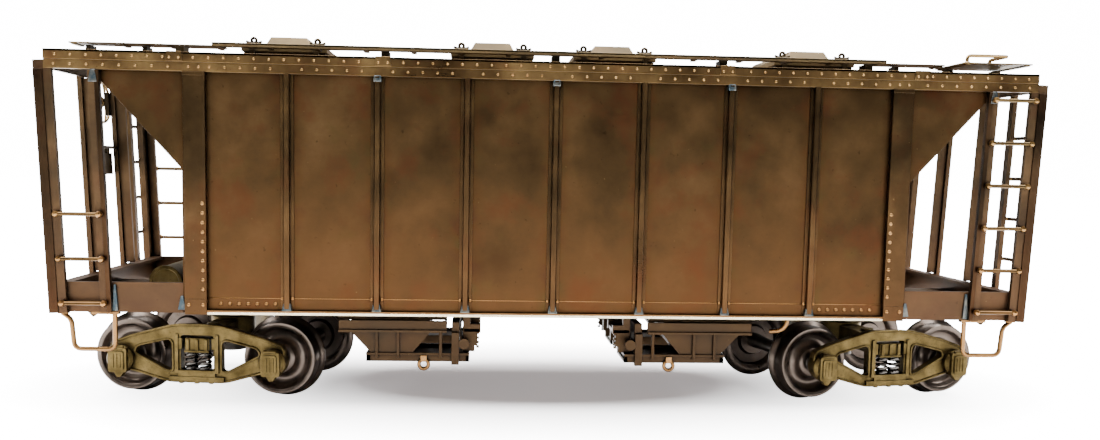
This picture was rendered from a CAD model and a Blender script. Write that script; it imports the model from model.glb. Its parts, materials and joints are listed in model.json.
import json
import math

import bmesh
import bpy
from mathutils import Matrix, Vector
from mathutils.geometry import tessellate_polygon


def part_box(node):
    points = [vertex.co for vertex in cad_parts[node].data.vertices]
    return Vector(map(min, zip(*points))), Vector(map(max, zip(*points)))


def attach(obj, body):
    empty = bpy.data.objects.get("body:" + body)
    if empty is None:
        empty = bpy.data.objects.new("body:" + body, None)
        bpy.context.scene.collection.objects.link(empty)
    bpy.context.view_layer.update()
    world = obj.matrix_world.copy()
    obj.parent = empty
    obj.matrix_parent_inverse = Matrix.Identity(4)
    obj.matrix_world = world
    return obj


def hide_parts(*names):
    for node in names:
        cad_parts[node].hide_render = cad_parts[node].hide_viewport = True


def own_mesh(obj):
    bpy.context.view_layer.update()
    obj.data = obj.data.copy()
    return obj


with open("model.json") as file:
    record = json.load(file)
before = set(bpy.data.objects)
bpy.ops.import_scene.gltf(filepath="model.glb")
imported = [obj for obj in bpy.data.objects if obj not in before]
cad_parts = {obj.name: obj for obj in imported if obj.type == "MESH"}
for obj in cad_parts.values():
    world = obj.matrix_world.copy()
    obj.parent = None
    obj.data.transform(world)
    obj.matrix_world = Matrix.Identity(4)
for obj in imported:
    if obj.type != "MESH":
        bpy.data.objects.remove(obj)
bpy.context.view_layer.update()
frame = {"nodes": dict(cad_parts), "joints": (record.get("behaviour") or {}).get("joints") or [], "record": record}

MM = 0.001
BODY = "car_body"

# ------------------------------------------------------------------ sizes, in millimetres


def low(node, axis):
    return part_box(node)[0][axis] / MM


def high(node, axis):
    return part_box(node)[1][axis] / MM


JOINTS = {joint["name"]: joint for joint in frame["joints"]}
ENDS = {"left": -1, "right": 1}
SIDES = (-1, 1)
TRUCK_X = JOINTS["right_truck_swivel"]["pos_m"][0] / MM
HALF_SHEET = high("side_sheets", 1)
POST_FACE = high("side_posts", 1)
SHEET_FOOT = low("side_sheets", 2)
SILL_Z = low("side_sills", 2)
STRIP_Z = low("eave_strips", 2)
STRIP_TOP = high("eave_strips", 2)
EAVE_Z = high("eave_angles", 2)
EAVE_END = high("eave_angles", 0)
GUSSET_END = high("side_sheets", 0)
PLATFORM_TOP = high("platform_sills", 2)
SIDE_POSTS = 7
POST_PITCH = 2 * TRUCK_X / (SIDE_POSTS + 1)
BOLSTER_POST_W = high("bolster_posts", 0) - low("bolster_posts", 0) - 2 * TRUCK_X
LEAN_Z = 27
END_X = 60.95
HALF_LENGTH = 61.85
CORNER_X = 59.75
STILE_X = 55
END_LEAN = math.radians(2.4)
STILE_LEAN = math.radians(2)
FIRST_RUNG_Z = 13.4
RUNG_PITCH = 5.4
RUNG_R = 0.25
HATCH_X = (-34.2, -7.9, 7.9, 34.2)
HATCH_Y = 6.3
LATCH_X = 4
LID_Z = low("hatch_covers", 2)
LID_TOP = low("hatch_latch_bars", 2) + 1.6
SEAT_Z = low("left_springs", 2)
SPRING_TOP = high("left_springs", 2)
AXLE_Z = JOINTS["left_outer_wheelset_spin"]["pos_m"][2] / MM
AXLE_X = 9.9
FRAME_Y = 11.3
FRAME_T = 1.5
PLATFORM_X = 52.4
HATCH_HALF = 5.35
RIVET = 0.25
OUT = (0, 1, 0)

# ------------------------------------------------------------------ camera, floor and light

LENS = 30.84
CAMERA_PLACE = (-9.26, -134.18, 30.55)
CAMERA_YAW = -3.59
CAMERA_PITCH = -4.85
CAMERA_ROLL = 1.11
CAMERA_SHIFT = (0.0108, 0.0271)
WHITE = 16


def make_camera():
    """The camera stands close to the near side, at mid height."""
    data = bpy.data.cameras.new("camera")
    camera = bpy.data.objects.new("camera", data)
    bpy.context.scene.collection.objects.link(camera)
    bpy.context.scene.camera = camera
    data.lens = LENS
    data.sensor_width = 36
    data.clip_start = 0.001
    data.clip_end = 20
    data.shift_x, data.shift_y = CAMERA_SHIFT
    camera.rotation_mode = "QUATERNION"
    turn = Matrix.Rotation(math.radians(CAMERA_YAW), 4, "Z")
    tip = Matrix.Rotation(math.radians(90 + CAMERA_PITCH), 4, "X")
    roll = Matrix.Rotation(math.radians(CAMERA_ROLL), 4, "Z")
    camera.matrix_world = Matrix.Translation(Vector(CAMERA_PLACE) * MM) @ turn @ tip @ roll


def area_light(name, place, aim, size, watts, colour=(1, 1, 1)):
    data = bpy.data.lights.new(name, "AREA")
    data.shape = "RECTANGLE"
    data.size, data.size_y = size
    data.energy = watts
    data.color = colour
    light = bpy.data.objects.new(name, data)
    bpy.context.scene.collection.objects.link(light)
    light.location = place
    light.rotation_euler = (Vector(aim) - Vector(place)).to_track_quat("-Z", "Y").to_euler()


def make_world():
    """White behind the car for the camera, and a dimmer room for light and reflections."""
    world = bpy.data.worlds.new("studio")
    bpy.context.scene.world = world
    world.use_nodes = True
    tree = world.node_tree
    tree.nodes.clear()
    out = tree.nodes.new("ShaderNodeOutputWorld")
    mix = tree.nodes.new("ShaderNodeMixShader")
    seen = tree.nodes.new("ShaderNodeBackground")
    seen.inputs["Color"].default_value = (1, 1, 1, 1)
    seen.inputs["Strength"].default_value = WHITE
    room = tree.nodes.new("ShaderNodeBackground")
    path = tree.nodes.new("ShaderNodeLightPath")
    coords = tree.nodes.new("ShaderNodeTexCoord")
    split = tree.nodes.new("ShaderNodeSeparateXYZ")
    front_to_back = tree.nodes.new("ShaderNodeValToRGB")
    stops = front_to_back.color_ramp
    stops.elements[0].position = 0.15
    stops.elements[0].color = (0.08, 0.075, 0.07, 1)
    stops.elements[1].position = 0.95
    stops.elements[1].color = (0.5, 0.5, 0.5, 1)
    half = tree.nodes.new("ShaderNodeMapRange")
    half.inputs["From Min"].default_value = -1
    links = tree.links
    links.new(coords.outputs["Generated"], split.inputs[0])
    links.new(split.outputs["Y"], half.inputs["Value"])
    links.new(half.outputs[0], front_to_back.inputs["Fac"])
    links.new(front_to_back.outputs["Color"], room.inputs["Color"])
    links.new(path.outputs["Is Camera Ray"], mix.inputs["Fac"])
    links.new(room.outputs[0], mix.inputs[1])
    links.new(seen.outputs[0], mix.inputs[2])
    links.new(mix.outputs[0], out.inputs["Surface"])


def make_floor():
    """A pale floor that takes the car's shadow and fades to white away from it."""
    mesh = bpy.data.meshes.new("floor")
    front, back, side = -0.4, 1.6, 2.0
    outline = [(-side, front, 0), (side, front, 0), (side, back, 0), (-side, back, 0)]
    mesh.from_pydata(outline, [], [(0, 1, 2, 3)])
    floor = bpy.data.objects.new("floor", mesh)
    bpy.context.scene.collection.objects.link(floor)
    s = Shader("floor", metallic=0)
    s.shader.inputs["Specular IOR Level"].default_value = 0.15
    path = s.tree.nodes.new("ShaderNodeLightPath")
    s.put(s.shader.inputs["Emission Strength"], s.maths("MULTIPLY", path.outputs["Is Camera Ray"], WHITE))
    across = s.maths("MULTIPLY", s.axis("X"), 1 / 115)
    along = s.maths("MULTIPLY", s.axis("Y"), 1 / 52)
    round_away = s.maths("ADD", s.maths("POWER", across, 2.0), s.maths("POWER", along, 2.0))
    white = s.spread(round_away, 0.05, 0.55)
    s.put(s.shader.inputs["Emission Color"], s.mix(white, (0.022, 0.02, 0.02), (1, 1, 1)))
    mesh.materials.append(s.finish(s.mix(white, (0.93, 0.9, 0.905), (1, 1, 1)), 0.6))


def make_lights():
    area_light("overhead", (0.0, 0.10, 0.5), (0, 0.04, 0), (1.1, 0.7), 34)
    area_light("front_left", (-0.5, -0.6, 0.35), (0, 0, 0.02), (0.35, 0.25), 0.5, (1, 0.97, 0.92))
    area_light("front_right", (0.5, -0.6, 0.45), (0, 0, 0.02), (0.35, 0.25), 0.3, (1, 0.98, 0.95))


# ------------------------------------------------------------------ materials


class Shader:
    """One material's node tree, with texture coordinates in millimetres."""

    def __init__(self, name, metallic=1.0):
        self.mat = bpy.data.materials.new(name)
        self.mat.use_nodes = True
        self.tree = self.mat.node_tree
        self.shader = self.tree.nodes["Principled BSDF"]
        self.shader.inputs["Metallic"].default_value = metallic
        coords = self.tree.nodes.new("ShaderNodeTexCoord")
        self.coords = self.mapped(coords.outputs["Object"], (1 / MM,) * 3)

    def node(self, kind, **inputs):
        made = self.tree.nodes.new(kind)
        for name, value in inputs.items():
            self.put(made.inputs[name.replace("_", " ")], value)
        return made

    def put(self, socket, value):
        if isinstance(value, bpy.types.NodeSocket):
            self.tree.links.new(value, socket)
        else:
            socket.default_value = value

    def mapped(self, vector, scale):
        return self.node("ShaderNodeMapping", Vector=vector, Scale=scale).outputs[0]

    def noise(self, per_mm, detail=4.0, rough=0.55, stretch=(1, 1, 1), shift=0.0):
        """Noise with about per_mm spots to a millimetre, stretched along an axis if asked."""
        vector = self.mapped(self.coords, stretch)
        made = self.node("ShaderNodeTexNoise", Vector=vector, Scale=per_mm, Detail=detail, Roughness=rough)
        made.noise_dimensions = "4D"
        made.inputs["W"].default_value = shift
        return made.outputs["Fac"]

    def ramp(self, value, *stops):
        """A colour ramp of (place, colour) stops."""
        made = self.node("ShaderNodeValToRGB", Fac=value)
        elements = made.color_ramp.elements
        while len(elements) < len(stops):
            elements.new(0.5)
        for element, (place, colour) in zip(elements, stops):
            element.position = place
            element.color = (*colour, 1)
        return made.outputs["Color"]

    def spread(self, value, start, end, to_start=0.0, to_end=1.0):
        """Maps start..end of a value to to_start..to_end, clamped."""
        made = self.node("ShaderNodeMapRange", Value=value)
        for name, number in zip(("From Min", "From Max", "To Min", "To Max"),
                                (start, end, to_start, to_end)):
            made.inputs[name].default_value = number
        return made.outputs[0]

    def maths(self, operation, a, b=0.0):
        made = self.tree.nodes.new("ShaderNodeMath")
        made.operation = operation
        self.put(made.inputs[0], a)
        self.put(made.inputs[1], b)
        return made.outputs[0]

    def mix(self, factor, a, b):
        made = self.tree.nodes.new("ShaderNodeMix")
        made.data_type = "RGBA"
        self.put(made.inputs["Factor"], factor)
        for socket, value in ((made.inputs[6], a), (made.inputs[7], b)):
            self.put(socket, (*value, 1) if isinstance(value, tuple) else value)
        return made.outputs[2]

    def axis(self, name):
        return self.node("ShaderNodeSeparateXYZ", Vector=self.coords).outputs[name]

    def grimed(self, colour, reach=1.4, deepest=0.22):
        """Darkens a colour in corners and narrow gaps."""
        made = self.node("ShaderNodeAmbientOcclusion", Distance=reach * MM)
        made.samples = 6
        shade = self.spread(made.outputs["AO"], 0.35, 0.85)
        return self.mix(shade, self.scaled(colour, deepest), colour)

    def scaled(self, colour, by):
        made = self.tree.nodes.new("ShaderNodeVectorMath")
        made.operation = "SCALE"
        self.put(made.inputs[0], colour)
        made.inputs["Scale"].default_value = by
        return made.outputs[0]

    def finish(self, colour, roughness, height=None, bump=0.1, depth=0.02):
        self.put(self.shader.inputs["Base Color"], colour)
        self.put(self.shader.inputs["Roughness"], roughness)
        if height is not None:
            made = self.node("ShaderNodeBump", Height=height, Strength=bump, Distance=depth * MM)
            self.tree.links.new(made.outputs[0], self.shader.inputs["Normal"])
        return self.mat


def tinted(colour, red, green, blue):
    return (colour[0] * red, colour[1] * green, colour[2] * blue)


def tarnished_brass(name, dark, mid, light, rough=(0.34, 0.5), stain=0.5, shift=0.0, posts=False, metal=1.0):
    """Sheet brass gone brown, with cloudy tones, stains, specks and fine rubbed scratches."""
    s = Shader(name, metal)
    cloud = s.noise(0.11, 6, 0.62, shift=shift)
    colour = s.ramp(cloud, (0.3, dark), (0.52, mid), (0.74, light))
    red = s.spread(s.noise(0.2, 5, 0.6, shift=shift + 3), 0.52, 0.72, 0, stain)
    colour = s.mix(red, colour, tinted(mid, 1.12, 0.7, 0.75))
    green = s.spread(s.noise(0.26, 4, 0.6, shift=shift + 7), 0.6, 0.78, 0, stain * 0.8)
    colour = s.mix(green, colour, tinted(mid, 0.85, 1.12, 0.95))
    warm = s.maths("ADD", s.spread(s.axis("Z"), 34, 12), s.spread(cloud, 0.4, 0.6, -0.3, 0.3))
    warmed = s.mix(0.75, colour, tinted(mid, 1.35, 0.85, 0.7))
    colour = s.mix(s.maths("MULTIPLY", warm, 0.6), colour, warmed)
    if posts:
        colour = post_stains(s, colour, mid, shift)
    specks = s.spread(s.noise(1.7, 3, 0.6, shift=shift + 1), 0.66, 0.74, 0, 0.55)
    colour = s.mix(specks, colour, tinted(dark, 0.4, 0.4, 0.4))
    dots = s.spread(s.noise(2.3, 2, 0.5, shift=shift + 5), 0.74, 0.79, 0, 0.5)
    colour = s.mix(dots, colour, tinted(light, 1.8, 1.8, 1.7))
    scratch = s.noise(3.2, 3, 0.7, stretch=(0.12, 1, 1), shift=shift)
    grain = s.noise(9, 2, 0.6, shift=shift)
    roughness = s.spread(s.maths("ADD", cloud, s.maths("MULTIPLY", scratch, 0.5)), 0.5, 1.0, *rough)
    height = s.maths("ADD", s.maths("MULTIPLY", scratch, 0.6), s.maths("MULTIPLY", grain, 0.4))
    return s.finish(s.grimed(colour), roughness, height, 0.2, 0.02)


def post_stains(s, colour, mid, shift):
    """Heat stains that run up the sheet beside each soldered post."""
    place = s.maths("MODULO", s.maths("ADD", s.axis("X"), 20.5 * POST_PITCH), POST_PITCH)
    away = s.maths("ABSOLUTE", s.maths("SUBTRACT", place, POST_PITCH / 2))
    wobble = s.maths("MULTIPLY", s.noise(0.35, 4, 0.6, shift=shift + 2), 3.4)
    edge = s.spread(s.maths("SUBTRACT", away, wobble), -1.6, 0.5, 0.85, 0)
    stained = s.ramp(
        s.noise(0.3, 4, 0.65, shift=shift + 9),
        (0.36, tinted(mid, 0.8, 0.52, 0.75)),
        (0.5, tinted(mid, 1.15, 0.85, 0.7)),
        (0.64, tinted(mid, 0.85, 1.05, 0.9)),
    )
    return s.mix(s.maths("MULTIPLY", edge, 0.75), colour, stained)


def cast_metal(name, dark, light, rough=(0.38, 0.55), grain=0.5):
    """Lost-wax metal: grainy, darker in its hollows."""
    s = Shader(name)
    cloud = s.noise(0.45, 5, 0.6)
    colour = s.ramp(cloud, (0.32, dark), (0.68, light))
    pits = s.spread(s.noise(2.6, 4, 0.7, shift=2), 0.56, 0.7, 0, 0.6)
    colour = s.mix(pits, colour, tinted(dark, 0.55, 0.5, 0.4))
    fine = s.noise(5.5, 4, 0.7)
    return s.finish(s.grimed(colour), s.spread(fine, 0.3, 0.7, *rough), fine, grain, 0.05)


def turned_metal(name, dark, light, rough=(0.16, 0.3)):
    """Turned metal with a film on it and fine smears."""
    s = Shader(name)
    film = s.noise(0.5, 5, 0.6)
    colour = s.ramp(film, (0.3, dark), (0.62, light))
    fine = s.noise(6, 3, 0.7)
    both = s.maths("ADD", film, s.maths("MULTIPLY", fine, 0.4))
    return s.finish(colour, s.spread(both, 0.4, 0.9, *rough), fine, 0.08, 0.02)


def solder_metal(name, grey, blue):
    """Solder: dull silver with blue-green bloom."""
    s = Shader(name)
    colour = s.ramp(s.noise(0.9, 4, 0.6), (0.35, grey), (0.6, blue))
    fine = s.noise(4, 3, 0.6)
    return s.finish(colour, s.spread(fine, 0.3, 0.7, 0.3, 0.5), fine, 0.4, 0.05)


MATERIALS = {
    "tarnished_brass": tarnished_brass(
        "tarnished_brass", (0.03, 0.017, 0.008), (0.068, 0.04, 0.017), (0.15, 0.093, 0.042), metal=0.8
    ),
    "sheet_brass": tarnished_brass(
        "sheet_brass", (0.034, 0.02, 0.009), (0.062, 0.036, 0.015), (0.1, 0.062, 0.027),
        (0.3, 0.48), stain=0.9, shift=4, posts=True
    ),
    "bright_brass": tarnished_brass(
        "bright_brass", (0.06, 0.033, 0.014), (0.135, 0.082, 0.034), (0.29, 0.2, 0.08), (0.25, 0.42), 0.6, 8
    ),
    "dark_brass": tarnished_brass(
        "dark_brass", (0.014, 0.009, 0.004), (0.038, 0.025, 0.01), (0.11, 0.078, 0.033),
        (0.32, 0.5), stain=0.4, shift=12, metal=0.8
    ),
    "brass_wire": tarnished_brass(
        "brass_wire", (0.12, 0.073, 0.028), (0.23, 0.15, 0.06), (0.4, 0.28, 0.12), (0.22, 0.36), 0.3, 16
    ),
    "rung_wire": tarnished_brass(
        "rung_wire", (0.04, 0.025, 0.01), (0.095, 0.062, 0.026), (0.2, 0.14, 0.06), (0.25, 0.4), 0.3, 17
    ),
    "rubbed_brass": tarnished_brass(
        "rubbed_brass", (0.14, 0.075, 0.026), (0.28, 0.17, 0.062), (0.5, 0.33, 0.14), (0.26, 0.38), 0.3, 18
    ),
    "dark_flange": tarnished_brass(
        "dark_flange", (0.02, 0.013, 0.008), (0.042, 0.025, 0.013), (0.1, 0.062, 0.032), (0.3, 0.45), 0.5, 21
    ),
    "post_brass": tarnished_brass(
        "post_brass", (0.026, 0.016, 0.008), (0.062, 0.038, 0.017), (0.15, 0.095, 0.04), (0.26, 0.4), 0.6, 23
    ),
    "board_brass": tarnished_brass(
        "board_brass", (0.06, 0.038, 0.014), (0.12, 0.08, 0.03), (0.24, 0.17, 0.065),
        (0.36, 0.5), stain=0.4, shift=19, metal=0.45
    ),
    "polished_edge": turned_metal("polished_edge", (0.85, 0.68, 0.4), (0.98, 0.88, 0.66), (0.2, 0.35)),
    "cast_brass": cast_metal("cast_brass", (0.05, 0.034, 0.011), (0.18, 0.128, 0.048)),
    "wheel_metal": turned_metal("wheel_metal", (0.075, 0.058, 0.046), (0.13, 0.103, 0.086), (0.24, 0.36)),
    "axle_steel": turned_metal("axle_steel", (0.04, 0.035, 0.03), (0.1, 0.09, 0.08), (0.3, 0.45)),
    "spring_steel": turned_metal("spring_steel", (0.035, 0.031, 0.028), (0.12, 0.11, 0.1), (0.16, 0.3)),
    "solder": solder_metal("solder", (0.2, 0.19, 0.16), (0.055, 0.08, 0.095)),
}

# ------------------------------------------------------------------ building shapes


def rounded(points, radius, closed=True, steps=4):
    """The path with its corners turned into short curves."""
    points = [Vector(point) for point in points]
    made = []
    for i, point in enumerate(points):
        if not closed and i in (0, len(points) - 1):
            made.append(point)
            continue
        before, after = points[i - 1], points[(i + 1) % len(points)]
        reach = min(radius, (before - point).length / 2.1, (after - point).length / 2.1)
        start = point + (before - point).normalized() * reach
        end = point + (after - point).normalized() * reach
        for k in range(steps + 1):
            t = k / steps
            made.append(start * (1 - t) ** 2 + point * 2 * t * (1 - t) + end * t**2)
    return made


class Piece:
    """A mesh being built, in millimetres. Each shape is added through the matrix called place."""

    def __init__(self):
        self.mesh = bmesh.new()
        self.place = Matrix.Identity(4)
        self.index = 0

    def add(self, points, faces):
        made = [self.mesh.verts.new(self.place @ Vector(point)) for point in points]
        for face in faces:
            self.mesh.faces.new([made[i] for i in face]).material_index = self.index

    def block(self, corner, other, inset=(0, 0)):
        """A box, whose top may be drawn in along X and Y."""
        (x0, y0, z0), (x1, y1, z1) = corner, other
        dx, dy = inset
        points = [(x0, y0, z0), (x1, y0, z0), (x1, y1, z0), (x0, y1, z0)]
        points += [(x0 + dx, y0 + dy, z1), (x1 - dx, y0 + dy, z1)]
        points += [(x1 - dx, y1 - dy, z1), (x0 + dx, y1 - dy, z1)]
        faces = [(3, 2, 1, 0), (4, 5, 6, 7), (0, 1, 5, 4), (1, 2, 6, 5), (2, 3, 7, 6), (3, 0, 4, 7)]
        self.add(points, faces)

    def loft(self, rings, closed=False):
        """Skins a row of rings that have the same number of points, with flat ends unless closed."""
        count = len(rings[0])
        points = [point for ring in rings for point in ring]
        faces = []
        for i in range(len(rings) if closed else len(rings) - 1):
            a, b = i * count, (i + 1) % len(rings) * count
            faces += [(a + k, a + (k + 1) % count, b + (k + 1) % count, b + k) for k in range(count)]
        if not closed:
            faces += [tuple(range(count - 1, -1, -1)), tuple(range(len(points) - count, len(points)))]
        self.add(points, faces)

    def plate(self, outline, start, end, holes=()):
        """A flat outline in X and Z, with holes, between two places along Y."""
        loops = [[Vector((x, 0, z)) for x, z in loop] for loop in (outline, *holes)]
        flat = [point for loop in loops for point in loop]
        count = len(flat)
        points = [(p.x, y, p.z) for y in (start, end) for p in flat]
        faces = []
        for a, b, c in tessellate_polygon(loops):
            faces += [(a, b, c), (c + count, b + count, a + count)]
        first = 0
        for loop in loops:
            for k in range(len(loop)):
                a, b = first + k, first + (k + 1) % len(loop)
                faces.append((a, b, b + count, a + count))
            first += len(loop)
        self.add(points, faces)

    def tube(self, path, radius, sides=10, closed=False):
        """A round wire along a path."""
        path = [Vector(point) for point in path]
        rings = []
        up = None
        for i, point in enumerate(path):
            before = path[i - 1] if closed or i else point
            after = path[(i + 1) % len(path)] if closed or i < len(path) - 1 else point
            along = (after - before).normalized()
            if up is None:
                up = along.orthogonal().normalized()
            up = (up - along * up.dot(along)).normalized()
            side = along.cross(up)
            angles = [2 * math.pi * k / sides for k in range(sides)]
            rings.append([point + (up * math.cos(a) + side * math.sin(a)) * radius for a in angles])
        self.loft(rings, closed)

    def lathe(self, section, centre=(0, 0, 0), axis=(0, 1, 0), sides=48, closed=False):
        """Turns a section of (radius, distance along the axis) points round an axis."""
        turn = Vector((0, 0, 1)).rotation_difference(Vector(axis))
        rings = []
        for k in range(sides):
            a = 2 * math.pi * k / sides
            ring = [Vector((r * math.cos(a), r * math.sin(a), h)) for r, h in section]
            rings.append([turn @ point + Vector(centre) for point in ring])
        if closed:
            self.loft(rings, True)
            return
        self.loft([list(ring) for ring in zip(*rings)])

    def dome(self, centre, radius, height=None, axis=(0, -1, 0), sides=10):
        """A rivet head or a blob of solder on a face whose outward direction is axis."""
        height = height or radius * 0.75
        section = [(radius, -0.05)]
        section += [(radius * math.cos(a), height * math.sin(a)) for a in (0, 0.5, 1.0, 1.35)]
        self.lathe(section, centre, axis, sides)

    def golden(self, shape, *args, **options):
        """Adds a shape in the brighter brass of rubbed rivet heads."""
        self.index = 1
        shape(*args, **options)
        self.index = 0

    def rivet(self, x, y, z, radius=RIVET):
        """A rubbed rivet head on the outer face of a side."""
        self.golden(self.dome, (x, y, z), radius, axis=OUT)

    def finish(self, name, slot, body=BODY, replaces=(), material=None, bevel=0.04, crisp=35):
        """Makes the object, and says which body it rides on and which nodes it stands for."""
        bmesh.ops.recalc_face_normals(self.mesh, faces=self.mesh.faces)
        bmesh.ops.scale(self.mesh, vec=(MM,) * 3, verts=self.mesh.verts)
        data = bpy.data.meshes.new(name)
        self.mesh.to_mesh(data)
        self.mesh.free()
        data.shade_smooth()
        data.set_sharp_from_angle(angle=math.radians(crisp))
        data.materials.append(MATERIALS[material or slot])
        data.materials.append(MATERIALS["rubbed_brass"])
        piece = bpy.data.objects.new(name, data)
        bpy.context.scene.collection.objects.link(piece)
        if bevel:
            soften(piece, bevel)
        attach(piece, body)
        if replaces:
            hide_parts(*replaces)
        return piece


def soften(piece, width):
    bevel = piece.modifiers.new("softened_edges", "BEVEL")
    bevel.width = width * MM
    bevel.segments = 2
    bevel.limit_method = "ANGLE"
    bevel.angle_limit = math.radians(40)


def mirrored(x_sign, y_sign):
    return Matrix.Diagonal((x_sign, y_sign, 1, 1))


def half_turns():
    """The near right corner's place and the far left corner's, half a turn round."""
    return [Matrix.Rotation(angle, 4, "Z") for angle in (0, math.pi)]


def corners():
    return [mirrored(x, y) for x in (-1, 1) for y in (-1, 1)]


def leaning(x, angle):
    """Leans a shape at the +X end outwards about the point x at the height where it doesn't move."""
    pivot = Matrix.Translation((x, 0, LEAN_Z))
    return pivot @ Matrix.Rotation(angle, 4, "Y") @ pivot.inverted()


def spaced(start, end, pitch):
    """Places from start to end about a pitch apart."""
    count = max(1, round((end - start) / pitch))
    return [start + (end - start) * k / count for k in range(count + 1)]


def upright_ring(x, y, z, radius, count):
    """Points round a circle that faces along Y."""
    angles = [2 * math.pi * k / count for k in range(count)]
    return [(x + radius * math.cos(a), y, z + radius * math.sin(a)) for a in angles]


# ------------------------------------------------------------------ sides
# Shapes on a side are drawn for the far side, +Y, and mirrored on to the near one.


def make_side_panels():
    """Each side is a sheet with sloping gussets and a lap along its foot, riveted in the outer panels."""
    piece = Piece()
    panel_end = TRUCK_X + BOLSTER_POST_W / 2 + 0.4
    slope_x, slope_z, slope = 54.5, 39.8, 1.1
    gusset_foot = slope_z + (panel_end - slope_x) * slope
    gusset_tip = slope_z + (GUSSET_END - slope_x) * slope
    half = [(panel_end, SHEET_FOOT), (panel_end, gusset_foot)]
    half += [(GUSSET_END, gusset_tip), (GUSSET_END, STRIP_TOP)]
    outline = half + [(-x, z) for x, z in reversed(half)]
    lap_end = TRUCK_X - BOLSTER_POST_W / 2
    lap_top = SHEET_FOOT + 1.45
    rubbed = (lap_end, HALF_SHEET + 0.07, SHEET_FOOT + 1.52)
    for side in SIDES:
        for end in (-1, 1):
            piece.place = mirrored(end, side)
            if end > 0:
                piece.plate(outline, HALF_SHEET - 0.5, HALF_SHEET)
            piece.block((0, HALF_SHEET - 0.1, SHEET_FOOT), (lap_end, HALF_SHEET + 0.08, lap_top))
            piece.golden(piece.block, (0, HALF_SHEET - 0.1, lap_top), rubbed)
            for x in spaced(TRUCK_X - POST_PITCH + 1.45, TRUCK_X - 2.85, 1.14)[:8]:
                piece.rivet(x, HALF_SHEET + 0.08, SHEET_FOOT + 0.8)
    piece.finish("side_panels", "tarnished_brass", replaces=["side_sheets"], material="sheet_brass",
                 bevel=0.03)


def make_bolster_posts():
    """A wide flat post over each truck, riveted along its inner edge, with a cap and a foot band."""
    piece = Piece()
    left, right = TRUCK_X - BOLSTER_POST_W / 2, TRUCK_X + BOLSTER_POST_W / 2
    rivet_x = TRUCK_X - 0.9
    for piece.place in corners():
        piece.block((left, HALF_SHEET, SILL_Z), (right, POST_FACE, STRIP_Z))
        piece.block((left - 0.03, HALF_SHEET, SILL_Z), (right + 0.03, POST_FACE + 0.08, SILL_Z + 1.9))
        piece.block((left - 0.03, HALF_SHEET, STRIP_Z - 0.45), (right + 0.03, POST_FACE + 0.06, STRIP_Z))
        for z in spaced(15.2, 25.7, 1.15):
            piece.rivet(rivet_x, POST_FACE, z)
        for x in (rivet_x, rivet_x + 1.7):
            piece.rivet(x, POST_FACE + 0.08, SILL_Z + 1.2)
    piece.finish("riveted_bolster_posts", "tarnished_brass", replaces=["bolster_posts"],
                 material="post_brass")


def make_side_posts():
    """Hat-section posts, each with a pair of rivets at its foot."""
    piece = Piece()
    solder = Piece()
    for side in SIDES:
        for i in range(1, SIDE_POSTS + 1):
            x = -TRUCK_X + i * POST_PITCH
            piece.place = solder.place = mirrored(1, side) @ Matrix.Translation((x, 0, 0))
            section = [(-0.8, HALF_SHEET), (-0.8, HALF_SHEET + 0.16), (-0.42, HALF_SHEET + 0.16)]
            section += [(-0.36, POST_FACE - 0.12), (-0.26, POST_FACE)]
            section += [(-across, out) for across, out in reversed(section)]
            rings = [[(across, out, z) for across, out in section] for z in (SHEET_FOOT, STRIP_Z)]
            piece.loft(rings)
            for across in (-0.6, 0.6):
                piece.rivet(across, HALF_SHEET + 0.16, SHEET_FOOT + 1.5, RIVET * 0.9)
            solder.block((-0.62, HALF_SHEET, SHEET_FOOT - 0.02),
                         (0.62, POST_FACE + 0.05, SHEET_FOOT + 0.95), (0.18, 0.16))
            if i % 2 == 0:
                solder.block((-0.5, HALF_SHEET, STRIP_Z - 0.7), (0.5, POST_FACE + 0.03, STRIP_Z + 0.1),
                             (0.05, 0.05))
    piece.finish("hat_section_posts", "tarnished_brass", replaces=["side_posts"], material="post_brass",
                 bevel=0.03)
    solder.finish("post_solder", "tarnished_brass", material="solder", bevel=0.12, crisp=60)


def make_eaves():
    """The eave is a strip and an angle, with a row of rivets along each and straps over the upper one."""
    piece = Piece()
    straps = (-46, -21.2, 21.2, 46)
    strip_face = POST_FACE - 0.08
    for side in SIDES:
        piece.place = mirrored(1, side)
        piece.block((-EAVE_END, HALF_SHEET, STRIP_Z), (EAVE_END, strip_face, STRIP_TOP))
        piece.block((-EAVE_END, POST_FACE - 0.4, STRIP_TOP), (EAVE_END, POST_FACE, EAVE_Z))
        piece.block((-EAVE_END, HALF_SHEET - 1, EAVE_Z - 0.3), (EAVE_END, POST_FACE, EAVE_Z))
        for x in spaced(-EAVE_END + 1.4, EAVE_END - 1.4, 1.8):
            if min(abs(x - strap) for strap in straps) > 1.3:
                piece.rivet(x, POST_FACE, STRIP_TOP + 0.55, RIVET * 0.72)
        for x in straps:
            piece.block((x - 1, POST_FACE - 0.1, STRIP_TOP + 0.1), (x + 1, POST_FACE + 0.12, EAVE_Z + 0.06),
                        (0.1, 0))
            for across in (-0.55, 0.55):
                piece.rivet(x + across, POST_FACE + 0.1, STRIP_TOP + 0.5, RIVET * 0.72)
        for i in range(SIDE_POSTS + 1):
            middle = -TRUCK_X + (i + 0.5) * POST_PITCH
            for step in range(-2, 3):
                piece.rivet(middle + step * 1.8, strip_face, STRIP_Z + 0.55, RIVET * 0.78)
        for end in (-1, 1):
            places = [TRUCK_X - 0.6, TRUCK_X + 0.6] + spaced(TRUCK_X + 3, EAVE_END - 1.2, 1.8)
            for x in places:
                piece.rivet(end * x, strip_face, STRIP_Z + 0.55, RIVET * 0.78)
    piece.finish("riveted_eaves", "bright_brass", replaces=["eave_strips", "eave_angles"])


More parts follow.
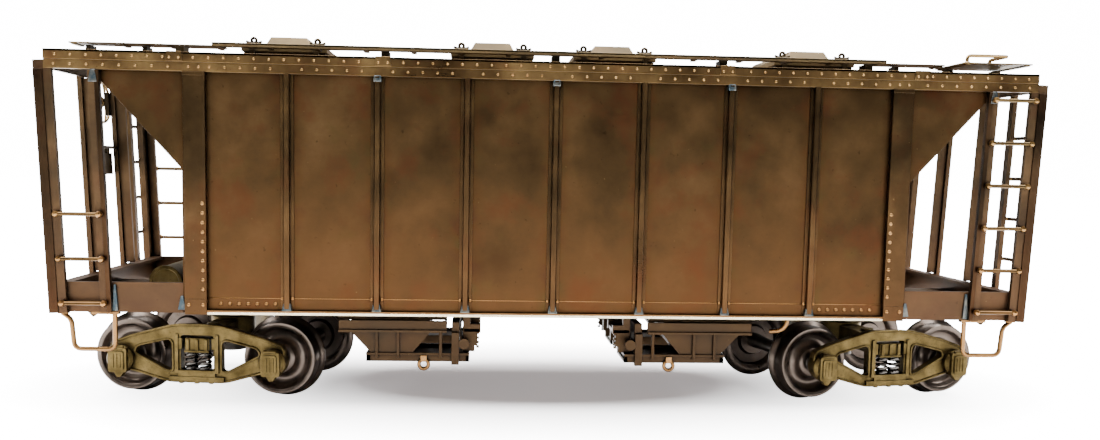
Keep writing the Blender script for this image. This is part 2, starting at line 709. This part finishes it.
def make_sill_edges():
    """The rubbed bright edge of each side sill's foot."""
    piece = Piece()
    end = TRUCK_X - BOLSTER_POST_W / 2
    face = high("side_sills", 1)
    for side in SIDES:
        piece.place = mirrored(1, side)
        piece.block((-end, face - 0.3, SILL_Z - 0.02), (end, face + 0.05, SILL_Z + 0.3))
    piece.finish("rubbed_sill_edges", "tarnished_brass", material="polished_edge", bevel=0.1)


# ------------------------------------------------------------------ ladders and steps


def rung_ends(z):
    """Where a side ladder's rung meets its stile and its corner post."""
    return (
        STILE_X + (z - LEAN_Z) * math.tan(STILE_LEAN),
        CORNER_X + 0.3 + (z - LEAN_Z) * math.tan(END_LEAN),
    )


def side_rung(piece, z):
    y = -POST_FACE - 0.5
    inner, outer = rung_ends(z)
    piece.tube([(inner, y, z), (outer, y, z)], RUNG_R)
    for x in (inner, outer):
        piece.tube([(x, y, z), (x, -POST_FACE + 0.1, z)], RUNG_R * 1.1)
        ball = [(0.02, -0.42), (0.24, -0.34), (0.4, -0.12), (0.42, 0.05), (0.3, 0.3), (0.02, 0.4)]
        piece.golden(piece.lathe, ball, (x, y, z), (0, -1, 0), 14)


def make_side_rungs():
    piece = Piece()
    flip = mirrored(-1, 1)
    for turn in half_turns():
        for i in range(6):
            piece.place = turn
            side_rung(piece, FIRST_RUNG_Z + i * RUNG_PITCH)
            if i < 3:
                piece.place = turn @ flip
                side_rung(piece, FIRST_RUNG_Z + i * RUNG_PITCH)
    piece.finish("side_ladder_wires", "brass_wire", replaces=["side_ladder_rungs"], material="rung_wire",
                 bevel=0)


def make_end_rungs():
    piece = Piece()
    y_out, y_in = -HALF_SHEET + 0.5, -11
    x = HALF_LENGTH + 0.35
    for turn in half_turns():
        piece.place = turn @ leaning(END_X, END_LEAN)
        for i in range(1, 5):
            z = FIRST_RUNG_Z + 1 + i * RUNG_PITCH
            path = [(HALF_LENGTH - 0.2, y_out, z), (x, y_out, z), (x, y_in, z), (HALF_LENGTH - 0.4, y_in, z)]
            piece.tube(rounded(path, 0.45, closed=False), RUNG_R)
            for y, sunk in ((y_out, 0.05), (y_in, 0.35)):
                piece.golden(piece.dome, (HALF_LENGTH - sunk, y, z), 0.42, 0.3, (1, 0, 0), 12)
    piece.finish("end_ladder_wires", "brass_wire", replaces=["end_ladder_rungs"], material="rung_wire",
                 bevel=0)


def make_stirrups():
    """Bent wire steps under the ladders, each with a foot strip soldered under the sill."""
    piece = Piece()
    y = -HALF_SHEET + 0.6
    z = 7.5
    for piece.place in corners():
        path = [(53.9, y, SILL_Z + 0.3), (53.9, y, z), (58.8, y, z), (59.1, y, 11.2),
                (60.2, y, SILL_Z - 0.1)]
        piece.tube(rounded(path, 0.9, closed=False), 0.3, 12)
        piece.block((53.3, y - 0.35, SILL_Z - 0.25), (56.6, y + 0.35, SILL_Z + 0.12))
        piece.block((59.4, y - 0.35, SILL_Z - 0.2), (60.6, y + 0.35, SILL_Z + 0.12))
    piece.finish("wire_stirrups", "brass_wire", replaces=["stirrup_steps"], bevel=0.03)


def make_corner_strips():
    """The dark outer flange of each corner post, and of each ladder stile."""
    posts, stiles = Piece(), Piece()
    for corner in corners():
        posts.place = corner @ leaning(END_X, END_LEAN)
        posts.block((HALF_LENGTH - 1.1, HALF_SHEET, SILL_Z), (HALF_LENGTH, POST_FACE + 0.04, STRIP_Z - 0.1))
        stiles.place = corner @ leaning(STILE_X, STILE_LEAN)
        stiles.block((STILE_X - 0.66, HALF_SHEET + 0.2, SILL_Z + 0.1),
                     (STILE_X - 0.1, POST_FACE + 0.03, STRIP_Z - 0.1))
    posts.finish("corner_post_flanges", "tarnished_brass", material="dark_flange", bevel=0.05)
    stiles.finish("stile_flanges", "tarnished_brass", material="dark_flange", bevel=0.05)


def make_sill_lugs():
    """Small lugs that hang under the end platforms."""
    piece = Piece()
    for piece.place in corners():
        outline = [(55.6, SILL_Z + 0.1), (58.4, SILL_Z + 0.1), (57.4, SILL_Z - 1), (56.8, SILL_Z - 0.5)]
        piece.plate(outline, 13.6, 14.2)
    piece.finish("sill_lugs", "dark_brass")


def make_end_solder():
    """Solder left at the tops and feet of the stiles and beside the outer panels."""
    piece = Piece()
    for piece.place in corners():
        inner, _ = rung_ends(STRIP_Z)
        piece.block((inner - 0.5, POST_FACE - 0.3, STRIP_Z - 1.5),
                    (inner + 0.55, POST_FACE + 0.12, STRIP_Z), (0.25, 0.1))
        inner, _ = rung_ends(SILL_Z)
        piece.block((inner - 1.25, HALF_SHEET - 0.1, SILL_Z + 0.3),
                    (inner - 0.55, HALF_SHEET + 0.3, PLATFORM_TOP - 0.3), (0.2, 0.1))
        piece.block((TRUCK_X + 1.35, HALF_SHEET - 0.1, SILL_Z + 0.5),
                    (TRUCK_X + 2.3, HALF_SHEET + 0.22, SILL_Z + 2.2), (0.3, 0.1))
    piece.finish("end_solder", "tarnished_brass", material="solder", bevel=0.15, crisp=60)


# ------------------------------------------------------------------ roof


def hatches():
    return [mirrored(1, side) @ Matrix.Translation((x, HATCH_Y, 0)) for x in HATCH_X for side in SIDES]


def make_hatch_covers():
    """Square lids with a folded rim and a raised pyramid in the middle."""
    piece = Piece()
    for piece.place in hatches():
        piece.block((-HATCH_HALF, -HATCH_HALF, LID_Z - 0.35), (HATCH_HALF, HATCH_HALF, LID_TOP - 0.1))
        piece.block((-HATCH_HALF + 0.3, -HATCH_HALF + 0.3, LID_TOP - 0.15),
                    (HATCH_HALF - 0.3, HATCH_HALF - 0.3, LID_TOP))
        piece.block((-3.1, -3.1, LID_TOP - 0.02), (3.1, 3.1, LID_TOP + 1.5), (0.8, 0.8))
    piece.finish("pyramid_hatch_lids", "bright_brass", replaces=["hatch_covers"], material="board_brass",
                 bevel=0.07)


def make_hatch_latches():
    """Two straps over each lid, with a folded end, an eye bolt, a wing nut and a ring."""
    piece = Piece()
    for hatch in hatches():
        for x in (-LATCH_X, LATCH_X):
            piece.place = hatch @ Matrix.Translation((x, 0, 0))
            piece.block((-0.45, -HATCH_HALF, LID_TOP), (0.45, HATCH_HALF + 0.3, LID_TOP + 0.28))
            piece.block((-0.3, HATCH_HALF + 0.02, LID_TOP - 1.6), (0.3, HATCH_HALF + 0.28, LID_TOP + 0.1))
            piece.dome((0, -HATCH_HALF + 0.9, LID_TOP + 0.28), 0.22, axis=(0, 0, 1))
            piece.tube([(0, 4.25, LID_TOP - 0.3), (0, 4.25, LID_TOP + 0.5)], 0.15)
            wings = [(-1.0, 4.25, LID_TOP + 0.62), (-0.35, 4.25, LID_TOP + 0.4), (0.35, 4.25, LID_TOP + 0.4)]
            piece.tube(rounded(wings + [(1.0, 4.25, LID_TOP + 0.62)], 0.3, closed=False), 0.16, 8)
            piece.tube(upright_ring(0, 4.25, LID_TOP + 0.75, 0.3, 16), 0.19, 8, closed=True)
            piece.block((-0.35, 3.95, LID_TOP + 0.2), (0.35, 4.55, LID_TOP + 0.55))
    piece.finish("hatch_latches", "dark_brass", replaces=["hatch_latch_bars", "hatch_ring_nuts"], bevel=0.03)


def planked(piece, corner, other, planks=3):
    """A board of planks with narrow gaps, on cleats."""
    (x0, y0, z0), (x1, y1, z1) = corner, other
    gap = 0.12
    across = (y1 - y0 + gap) / planks
    middle = z0 + (z1 - z0) * 0.45
    for k in range(planks):
        piece.block((x0, y0 + k * across, middle), (x1, y0 + (k + 1) * across - gap, z1))
    for x in spaced(x0 + 0.6, x1 - 0.6, 6):
        piece.block((x - 0.3, y0 + 0.05, z0), (x + 0.3, y1 - 0.05, middle + 0.02))


def make_boards():
    """Planked running boards and corner platforms."""
    sides = Piece()
    lo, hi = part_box("side_running_boards")
    lo, hi = lo / MM, hi / MM
    for side in SIDES:
        sides.place = mirrored(1, side)
        planked(sides, (lo[0], hi[1] - 3.2, lo[2]), hi)
        sides.block((lo[0], hi[1] - 0.12, lo[2]), (hi[0], hi[1], hi[2] - 0.06))
    sides.finish("planked_side_boards", "bright_brass", replaces=["side_running_boards"],
                 material="board_brass")
    ends = Piece()
    z0, z1 = low("end_running_boards", 2), high("end_running_boards", 2)
    for ends.place in half_turns():
        planked(ends, (-EAVE_END, -10.4, z0), (-hi[0] - 0.3, -7.6, z1))
        planked(ends, (hi[0] + 0.3, -10.4, z0), (PLATFORM_X, -7.6, z1))
    ends.finish("planked_end_boards", "bright_brass", replaces=["end_running_boards"],
                material="board_brass")
    platforms = Piece()
    z0, z1 = low("roof_platforms", 2), high("roof_platforms", 2)
    for platforms.place in half_turns():
        planked(platforms, (PLATFORM_X, -15.4, z0), (high("roof_platforms", 0), -7.6, z1), 6)
    platforms.finish("planked_platforms", "bright_brass", replaces=["roof_platforms"],
                     material="board_brass")


def make_grab_irons():
    piece = Piece()
    y = -15
    x = PLATFORM_X + 0.6
    z = high("roof_platforms", 2)
    top = high("roof_grab_irons", 2) - 0.23
    for piece.place in half_turns():
        path = [(x, y, z - 0.2), (x, y, top), (x + 5.4, y, top), (x + 5.4, y + 4.5, top),
                (x + 5.4, y + 4.5, z - 0.2)]
        piece.tube(rounded(path, 0.55, closed=False), 0.22)
        for foot in ((x, y), (x + 5.4, y + 4.5)):
            piece.dome((*foot, z), 0.38, 0.16, (0, 0, 1))
    piece.finish("wire_grab_irons", "brass_wire", replaces=["roof_grab_irons"], bevel=0)


# ------------------------------------------------------------------ brake gear and reservoir


def make_brake_wheel():
    """A dished hand wheel with five curved spokes."""
    piece = Piece()
    lo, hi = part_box("brake_wheel")
    centre = (lo + hi) / 2 / MM
    piece.place = Matrix.Translation(centre) @ Matrix.Rotation(-END_LEAN, 4, "Y")
    rim = 2.8
    circle = [2 * math.pi * k / 48 for k in range(48)]
    piece.tube([(-0.1, rim * math.cos(a), rim * math.sin(a)) for a in circle], 0.2, 8, closed=True)
    piece.lathe([(0.12, -0.35), (0.55, -0.3), (0.6, 0.1), (0.4, 0.45), (0.12, 0.5)], (0, 0, 0), (1, 0, 0),
                20, closed=True)
    for k in range(5):
        a = 2 * math.pi * k / 5
        path = []
        for r in (0.4, 1, 1.6, 2.2, 2.8):
            path.append((0.3 - 0.45 * (r / rim) ** 2, r * math.cos(a), r * math.sin(a)))
        piece.tube(path, 0.15, 8)
    piece.finish("spoked_brake_wheel", "brass_wire", replaces=["brake_wheel"], bevel=0)


def make_reservoir():
    """An air reservoir with a turned rim round each end."""
    piece = Piece()
    lo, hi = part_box("air_reservoir")
    lo, hi = lo / MM, hi / MM
    centre = (lo + hi) / 2
    half = hi[1]
    r = 2.1
    section = [(0.1, -half + 0.25), (1.6, -half + 0.2), (1.72, -half), (r, -half + 0.05), (r, -half + 0.5),
               (r - 0.12, -half + 0.6)]
    section += [(radius, -along) for radius, along in reversed(section)]
    piece.lathe(section, (centre[0], 0, centre[2]), OUT, 56)
    piece.finish("turned_reservoir", "cast_brass", replaces=["air_reservoir"], bevel=0.03)


# ------------------------------------------------------------------ outlets


def make_gates():
    """Sliding gate frames with flanged rails, stepped racks, a shaft and its locks."""
    frames, racks, locks = Piece(), Piece(), Piece()
    x0, x1 = 10.4, 24
    y0, y1 = 3.1, 10
    z0, z1 = 4.9, 6.1
    for place in corners():
        frames.place = racks.place = locks.place = place
        frames.block((x0, 3.2, 5.25), (x1, 9.9, 5.75))
        for y in (y0, 9.4):
            frames.block((x0, y, z0), (x1, y + 0.6, z1))
        frames.block((x0, y0, z0), (10.9, y1, z1))
        frames.block((23.4, y0, z0), (x1, y1, z1))
        frames.block((x0, 9.9, 5.75), (x1, 10.25, z1))
        frames.block((11.75, 9.9, 4.6), (12.75, 10.65, 8.9))
        frames.block((11.75, 3.1, 6.0), (12.75, 10, 10.2))
        for x in (14.2, 19.8, 22.6):
            frames.block((x - 0.2, 9.9, 5.4), (x + 0.2, 10.4, 8.9))
        frames.tube([(11.1, 2.6, 7.4), (11.1, 10.6, 7.4)], 0.42, 14)
        frames.lathe([(0.05, -0.3), (0.75, -0.3), (0.75, 0.3), (0.05, 0.3)], (11.1, 10.5, 7.4), OUT, 12)
        steps = [(11.3, 6.1), (11.3, 11), (10.3, 11), (10.3, 9.8), (8.9, 9.8), (8.9, 8.6), (9.3, 8.6),
                 (9.3, 6.9), (9.7, 6.9), (9.7, 6.1)]
        for y in (3.6, 8.3):
            racks.plate(steps, y, y + 0.7)
        racks.block((9.0, 3.6, 8.7), (11.2, 9, 9.2))
        for z in (6.6, 7.2, 7.8, 8.4):
            racks.block((9.1, 8.3, z), (9.5, 9, z + 0.25))
        locks.tube(upright_ring(16.4, 10.25, 4.6, 0.62, 24), 0.26, 8, closed=True)
        locks.block((16.0, 9.95, 4.95), (16.8, 10.55, 5.8))
    frames.finish("flanged_gate_frames", "dark_brass", replaces=["gate_frames"])
    racks.finish("stepped_racks", "dark_brass", replaces=["gate_racks"])
    locks.finish("gate_lock_rings", "brass_wire", replaces=["gate_locks"], bevel=0.03)


def make_sill_pipe():
    """A short bent pipe under the near side sill by the right truck."""
    piece = Piece()
    path = [(30.6, -15.9, 12.2), (30.4, -15.9, 11.1), (29.8, -15.6, 10.4), (28.6, -15, 10.2)]
    piece.tube(rounded(path, 0.5, closed=False), 0.3, 12)
    piece.finish("sill_pipe", "brass_wire", bevel=0)


# ------------------------------------------------------------------ trucks


def truck_angle(end):
    axis = JOINTS[f"{end}_outer_wheelset_spin"]["axis"]
    return math.atan2(-axis[0], axis[1])


def truck_place(end):
    return Matrix.Translation((ENDS[end] * TRUCK_X, 0, 0)) @ Matrix.Rotation(truck_angle(end), 4, "Z")


def make_side_frame(end, side_name):
    """A cast side frame, drawn for +Y: an arch with two lipped windows, a spring seat and journal boxes."""
    side = -1 if side_name == "near" else 1
    piece = Piece()
    piece.place = truck_place(end) @ mirrored(1, side)
    outer = FRAME_Y + FRAME_T
    arch = [(2.9, 9.9), (8.6, 8.35), (11.3, 7.35), (11.3, 4.0), (8.9, 4.1), (3.7, 2.6)]
    outline = rounded(arch + [(-x, z) for x, z in reversed(arch)], 0.9)
    window = [(3.15, 8.25), (7.9, 7.1), (8.3, 6.2), (4.0, 3.95), (3.15, 3.9)]
    windows = [rounded(window, 1.1, steps=6), rounded([(-x, z) for x, z in reversed(window)], 1.1, steps=6)]
    seat = rounded([(-2.15, SEAT_Z), (2.15, SEAT_Z), (2.15, 8.6), (-2.15, 8.6)], 0.35)
    steps = [2 * math.pi * k / 20 for k in range(20)]
    bores = []
    for x in (-AXLE_X, AXLE_X):
        bores.append([(x + 0.95 * math.cos(a), AXLE_Z + 0.95 * math.sin(a)) for a in steps])
    piece.plate(outline, FRAME_Y, outer - 0.25, [*windows, seat, *bores])
    for loop, radius in ((outline, 0.17), (windows[0], 0.15), (windows[1], 0.15)):
        shifted = [(x, outer - 0.22, z) for x, z in loop]
        piece.tube(shifted, radius, 8, closed=True)
    for x in (-1, 1):
        piece.block((x * 2.62 - 0.22, outer - 0.3, 3.7), (x * 2.62 + 0.22, outer, 8.7))
        piece.block((x * 2.2 - 0.25, FRAME_Y + 0.2, 6.8), (x * 2.2 + 0.25, outer - 0.1, 8.2))
    piece.block((-3.6, FRAME_Y, 2.65), (3.6, outer + 0.1, 3.25))
    piece.block((-2.4, FRAME_Y + 0.1, 3.2), (2.4, outer, SEAT_Z + 0.02))
    for x in (-2.3, -0.3, 1.6):
        piece.block((x, outer - 0.6, 2.35), (x + 0.5, outer, 2.7))
    for x in (-AXLE_X, AXLE_X):
        journal_box(piece, x, outer)
    piece.finish(f"{end}_{side_name}_side_frame", "cast_brass", f"{end}_truck_frame",
                 [f"{end}_{side_name}_frame"], bevel=0.05)


def journal_box(piece, x, outer):
    """A round-backed box with a ribbed, hinged lid and a lug under it."""
    section = [(1.0, -1.5), (1.5, -1.5), (1.75, -1.2), (1.75, 0.3), (1.45, 0.7), (1.0, 0.7)]
    piece.lathe(section, (x, outer, AXLE_Z), OUT, 28, closed=True)
    outline = rounded([(x - 1.2, 3.75), (x + 1.2, 3.75), (x + 1.2, 6.9), (x - 1.2, 6.9)], 0.35)
    piece.plate(outline, outer - 0.2, outer + 1.05)
    inner = rounded([(x - 0.85, 4.1), (x + 0.85, 4.1), (x + 0.85, 6.5), (x - 0.85, 6.5)], 0.3)
    piece.plate(inner, outer + 1.0, outer + 1.22)
    piece.tube([(x - 0.8, outer + 0.95, 6.95), (x + 0.8, outer + 0.95, 6.95)], 0.22)
    for step in (-0.45, 0, 0.45):
        piece.block((x + step - 0.08, outer + 1.2, 4.4), (x + step + 0.08, outer + 1.3, 6.2))
    piece.plate([(x - 0.7, 3.8), (x + 0.7, 3.8), (x + 0.25, 3.1), (x - 0.25, 3.1)], outer - 0.1, outer + 0.7)


def make_bolster(end):
    """The truck bolster: a box beam with a centre plate, ribbed ends and side bearings."""
    piece = Piece()
    piece.place = truck_place(end)
    outer = FRAME_Y + FRAME_T
    top = high("left_bolster", 2)
    half = 1.6
    foot = SPRING_TOP + 0.1
    stations = [(0, top - 0.5), (9.3, top - 0.6), (10.6, 8.25), (outer - 0.25, 8.2)]
    for side in SIDES:
        rings = []
        for out, z in stations:
            y = side * out
            rings.append([(-half, y, foot), (half, y, foot), (half, y, z), (-half, y, z)])
        piece.loft(rings)
        rib = sorted((side * (outer - 0.3), side * outer))
        for x in (-1.2, 0, 1.2):
            piece.block((x - 0.22, rib[0], SPRING_TOP + 0.3), (x + 0.22, rib[1], 8.1))
        lip = sorted((side * 9.9, side * outer))
        piece.block((-1.62, lip[0], SPRING_TOP + 0.02), (1.62, lip[1], SPRING_TOP + 0.3))
        piece.lathe([(0.05, 0), (0.9, 0), (0.9, 0.35), (0.05, 0.35)], (0, side * 7, top - 0.55), (0, 0, 1),
                    20)
    ring = [(1.02, foot), (3, foot), (3, top - 0.15), (2.85, top), (1.02, top)]
    piece.lathe(ring, (0, 0, 0), (0, 0, 1), 48, closed=True)
    piece.finish(f"{end}_bolster_beam", "cast_brass", f"{end}_bolster", [f"{end}_bolster"], bevel=0.06)


def make_springs(end):
    """Coil springs between each frame's seat and the bolster."""
    piece = Piece()
    piece.place = truck_place(end)
    turns, steps, wire, r = 4.5, 18, 0.2, 0.66
    lowest, rise = SEAT_Z + wire, SPRING_TOP - SEAT_Z - 2 * wire
    for side in SIDES:
        y = side * (FRAME_Y + FRAME_T / 2)
        for x in (-0.88, 0.88):
            path = []
            for k in range(int(turns * steps) + 1):
                a = 2 * math.pi * k / steps
                t = min(1.0, max(0.0, (k / steps - 0.6) / (turns - 1.2)))
                path.append((x + r * math.cos(a), y + r * math.sin(a), lowest + rise * t))
            piece.tube(path, wire, 8)
    spring = piece.finish(f"{end}_coils", "spring_steel", f"{end}_bolster", [f"{end}_springs"], bevel=0)
    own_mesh(spring)


def make_wheelset(end, place):
    """An axle and two wheels, turned, with a dished web, a raised hub and a rim."""
    sign = ENDS[end] * (1 if place == "outer" else -1)
    turn = truck_place(end) @ Matrix.Translation((sign * AXLE_X, 0, AXLE_Z))
    tread, flange, back, width = 4.8, 5.4, 7.25, 2.8
    face = back + width
    wheels = Piece()
    section = [
        (1.1, back + 0.1), (2.1, back + 0.1), (2.4, back + 0.7), (3.6, back + 0.75), (3.85, back + 0.15),
        (4.0, back), (5.15, back), (5.33, back + 0.1), (flange, back + 0.3), (5.33, back + 0.5),
        (5.05, back + 0.72), (4.86, back + 0.95), (tread, back + 1.2), (4.72, face - 0.16), (4.62, face),
        (4.1, face), (3.98, face - 0.12), (3.85, face - 0.75), (3.55, back + 1.75), (3.0, back + 1.5),
        (2.5, back + 1.6), (2.15, back + 2.0), (2.0, face - 0.3), (1.85, face - 0.12), (1.1, face - 0.1),
    ]
    for side in SIDES:
        wheels.place = turn @ mirrored(1, side)
        wheels.lathe(section, (0, 0, 0), OUT, 72, closed=True)
    body = f"{end}_{place}_wheelset"
    wheels.finish(f"{end}_{place}_turned_wheels", "wheel_metal", body, [f"{end}_{place}_wheels"], bevel=0,
                  crisp=50)
    axle = Piece()
    axle.place = turn
    half = [(0.9, 0), (0.95, 4.5), (1.1, 6.2), (1.1, face - 0.08), (1.0, face + 0.05), (0.8, 10.85),
            (0.8, 12.1), (0.5, 12.35)]
    section = [(0.05, -12.35)] + [(r, -y) for r, y in reversed(half)] + half[1:] + [(0.05, 12.35)]
    axle.lathe(section, (0, 0, 0), OUT, 28)
    axle.finish(f"{end}_{place}_turned_axle", "axle_steel", body, [f"{end}_{place}_axle"], bevel=0)


def dress_frame():
    """Every CAD node that stays gets its slot's material and softened edges."""
    slots = {row["node"]: row["material_slot"] for row in frame["record"]["subparts"]}
    for name, node in frame["nodes"].items():
        node.data.materials.clear()
        node.data.materials.append(MATERIALS[slots[name]])
        soften(node, 0.05)


make_camera()
make_world()
make_floor()
make_lights()
dress_frame()
make_side_panels()
make_bolster_posts()
make_side_posts()
make_eaves()
make_sill_edges()
make_side_rungs()
make_end_rungs()
make_stirrups()
make_corner_strips()
make_sill_lugs()
make_end_solder()
make_hatch_covers()
make_hatch_latches()
make_boards()
make_grab_irons()
make_brake_wheel()
make_reservoir()
make_gates()
make_sill_pipe()
for end in ENDS:
    for side_name in ("near", "far"):
        make_side_frame(end, side_name)
    make_bolster(end)
    make_springs(end)
    for place in ("outer", "inner"):
        make_wheelset(end, place)
